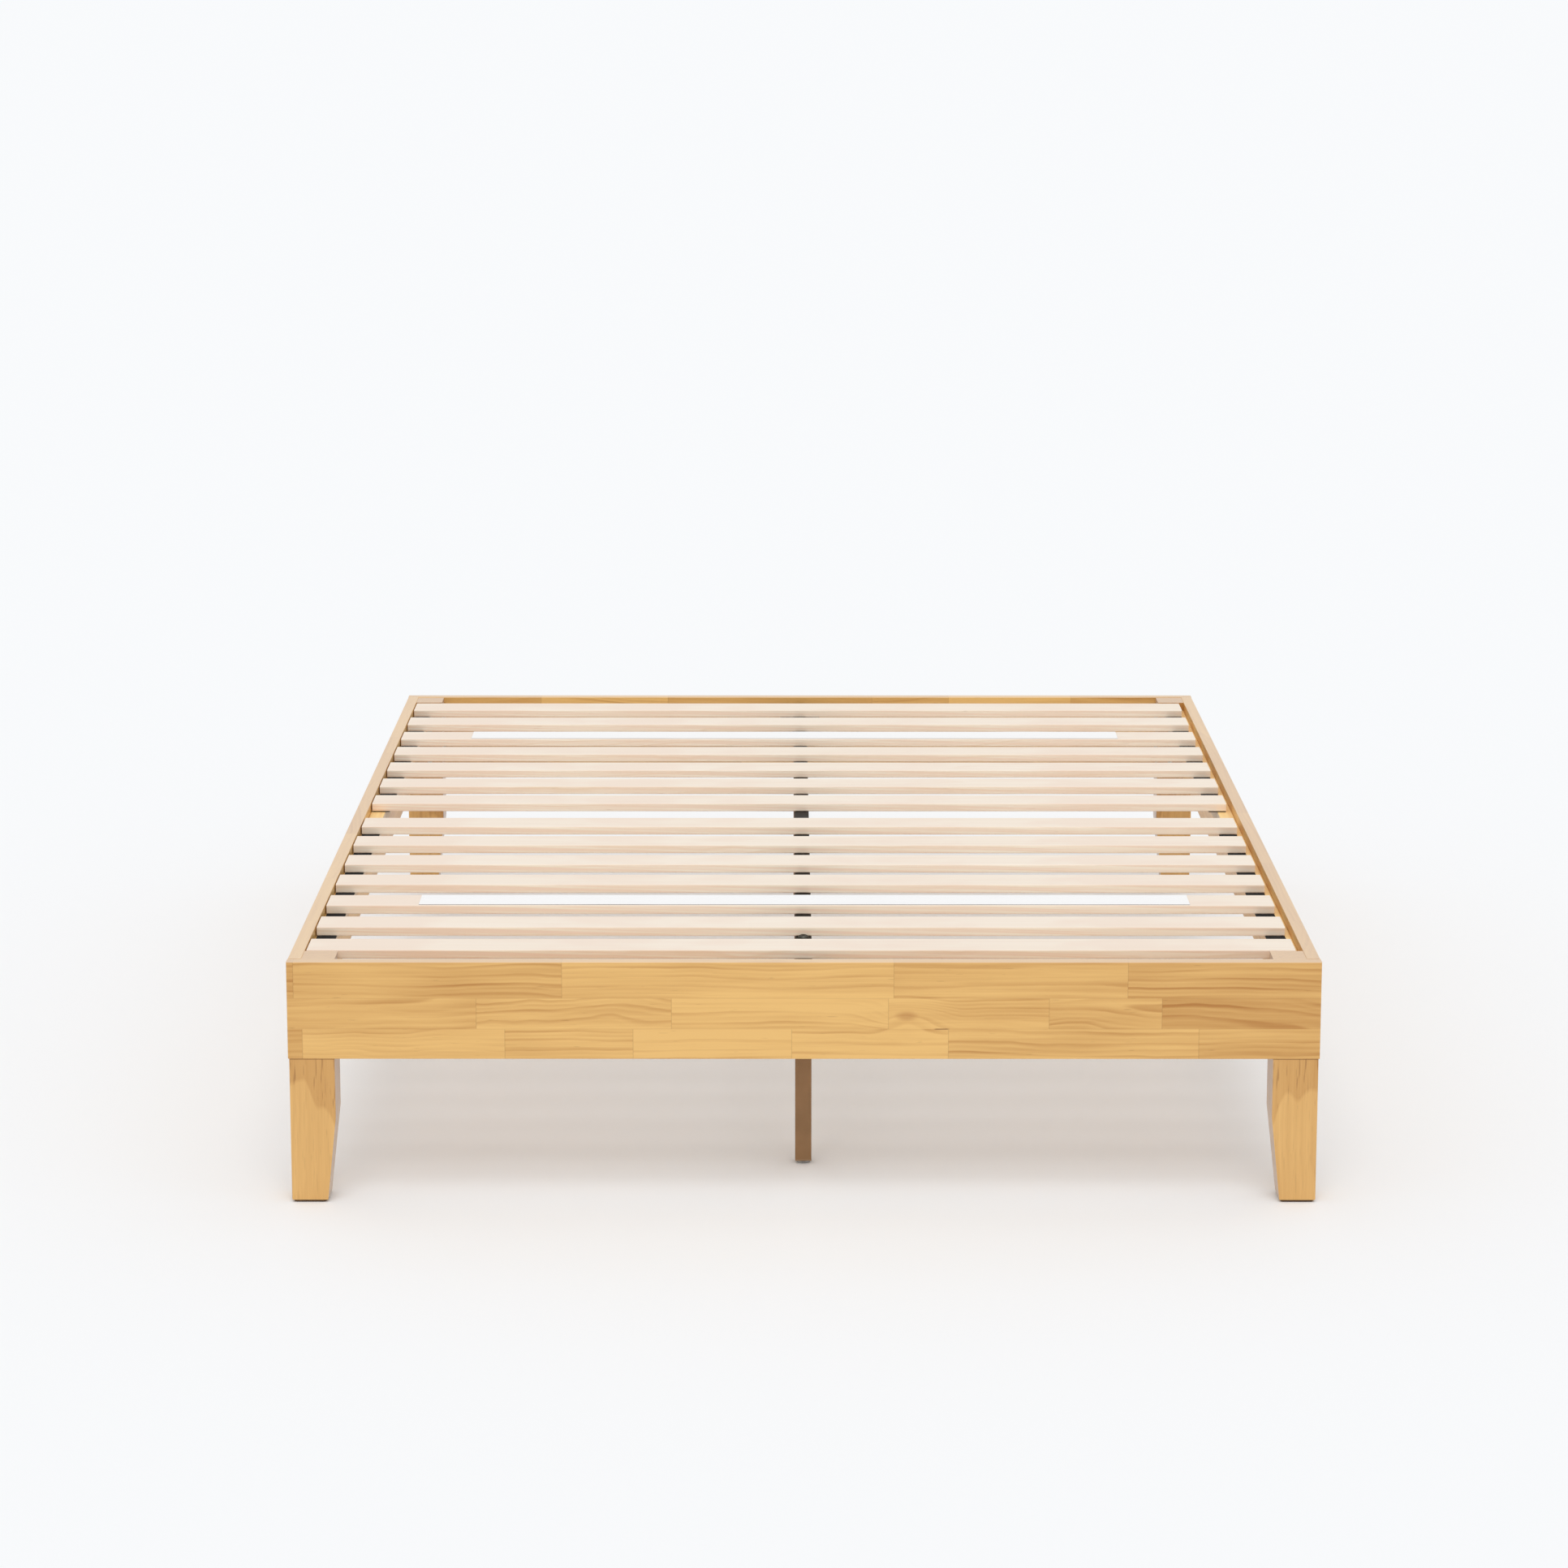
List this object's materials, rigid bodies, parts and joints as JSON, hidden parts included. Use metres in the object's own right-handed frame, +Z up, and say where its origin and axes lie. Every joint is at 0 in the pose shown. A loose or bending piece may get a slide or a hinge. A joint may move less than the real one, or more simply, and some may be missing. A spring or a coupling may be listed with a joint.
{
  "type": "bed frame",
  "caption": "Slatted platform bed frame in clear pine: rails on tapered square legs, strapped slat packs on ledgers, steel centre beam with centre legs.",
  "frame": {"origin": "on the floor, under the middle of the frame's outline", "axes": "+X across the bed to the right seen from the foot, +Y along the bed from the foot to the head, +Z up"},
  "size_m": [1.53, 2.02, 0.37],
  "materials": {
    "rail_pine": "clear satin varnish on edge-glued pine",
    "leg_pine": "clear satin varnish on solid pine",
    "ledger_pine": "planed pine, thin varnish",
    "slat_pine": "planed unfinished pine",
    "dowel_beech": "fluted beech, dry",
    "felt": "pressed felt",
    "webbing": "woven polypropylene webbing",
    "grip_tape": "looped grip tape",
    "liner_paper": "smooth white release paper",
    "beam_steel": "black powder coat",
    "bracket_steel": "black powder coat",
    "centre_leg_steel": "brown powder coat",
    "insert_plastic": "moulded, matt",
    "foot_steel": "zinc plate, dull",
    "insert_brass": "machined",
    "staple_wire": "galvanised wire",
    "zinc_steel": "bright zinc plate"
  },
  "bodies": {
    "frame": {"bracket_screws": "zinc_steel", "centre_beam": "beam_steel", "centre_leg_bolts": "zinc_steel", "corner_bolts": "zinc_steel", "corner_washers": "zinc_steel", "foot_beam_bracket": "bracket_steel", "foot_centre_leg": "centre_leg_steel", "foot_left_felt_pad": "felt", "foot_left_leg": "leg_pine", "foot_leg_lower_insert": "insert_plastic", "foot_leg_upper_insert": "insert_plastic", "foot_rail": "rail_pine", "foot_right_felt_pad": "felt", "foot_right_leg": "leg_pine", "head_beam_bracket": "bracket_steel", "head_centre_leg": "centre_leg_steel", "head_left_felt_pad": "felt", "head_left_leg": "leg_pine", "head_leg_lower_insert": "insert_plastic", "head_leg_upper_insert": "insert_plastic", "head_rail": "rail_pine", "head_right_felt_pad": "felt", "head_right_leg": "leg_pine", "ledger_screws": "zinc_steel", "left_ledger": "ledger_pine", "left_side_rail": "rail_pine", "middle_centre_leg": "centre_leg_steel", "middle_leg_lower_insert": "insert_plastic", "middle_leg_upper_insert": "insert_plastic", "rail_dowels": "dowel_beech", "rail_inserts": "insert_brass", "right_ledger": "ledger_pine", "right_side_rail": "rail_pine"},
    "foot_slat_pack": {"slat_01": "slat_pine", "slat_02": "slat_pine", "slat_03": "slat_pine", "slat_04": "slat_pine", "slat_05": "slat_pine", "slat_06": "slat_pine", "slat_07": "slat_pine", "foot_left_strap": "webbing", "foot_right_strap": "webbing", "foot_pack_staples": "staple_wire", "foot_grip_tape": "grip_tape", "foot_tape_liner": "liner_paper"},
    "head_slat_pack": {"slat_08": "slat_pine", "slat_09": "slat_pine", "slat_10": "slat_pine", "slat_11": "slat_pine", "slat_12": "slat_pine", "slat_13": "slat_pine", "slat_14": "slat_pine", "head_left_strap": "webbing", "head_right_strap": "webbing", "head_pack_staples": "staple_wire", "head_grip_tape": "grip_tape", "head_tape_liner": "liner_paper"},
    "foot_levelling_foot": {"foot_levelling_foot": "foot_steel"},
    "middle_levelling_foot": {"middle_levelling_foot": "foot_steel"},
    "head_levelling_foot": {"head_levelling_foot": "foot_steel"}
  },
  "joints": [
    {"name": "foot_pack_lift", "type": "slide", "parent": "frame", "child": "foot_slat_pack", "axis": [0, 0, 1], "range_m": [0, 0.25]},
    {"name": "head_pack_lift", "type": "slide", "parent": "frame", "child": "head_slat_pack", "axis": [0, 0, 1], "range_m": [0, 0.25]},
    {"name": "foot_leg_levelling", "type": "slide", "parent": "frame", "child": "foot_levelling_foot", "axis": [0, 0, 1], "range_m": [-0.012, 0]},
    {"name": "middle_leg_levelling", "type": "slide", "parent": "frame", "child": "middle_levelling_foot", "axis": [0, 0, 1], "range_m": [-0.012, 0]},
    {"name": "head_leg_levelling", "type": "slide", "parent": "frame", "child": "head_levelling_foot", "axis": [0, 0, 1], "range_m": [-0.012, 0]}
  ]
}
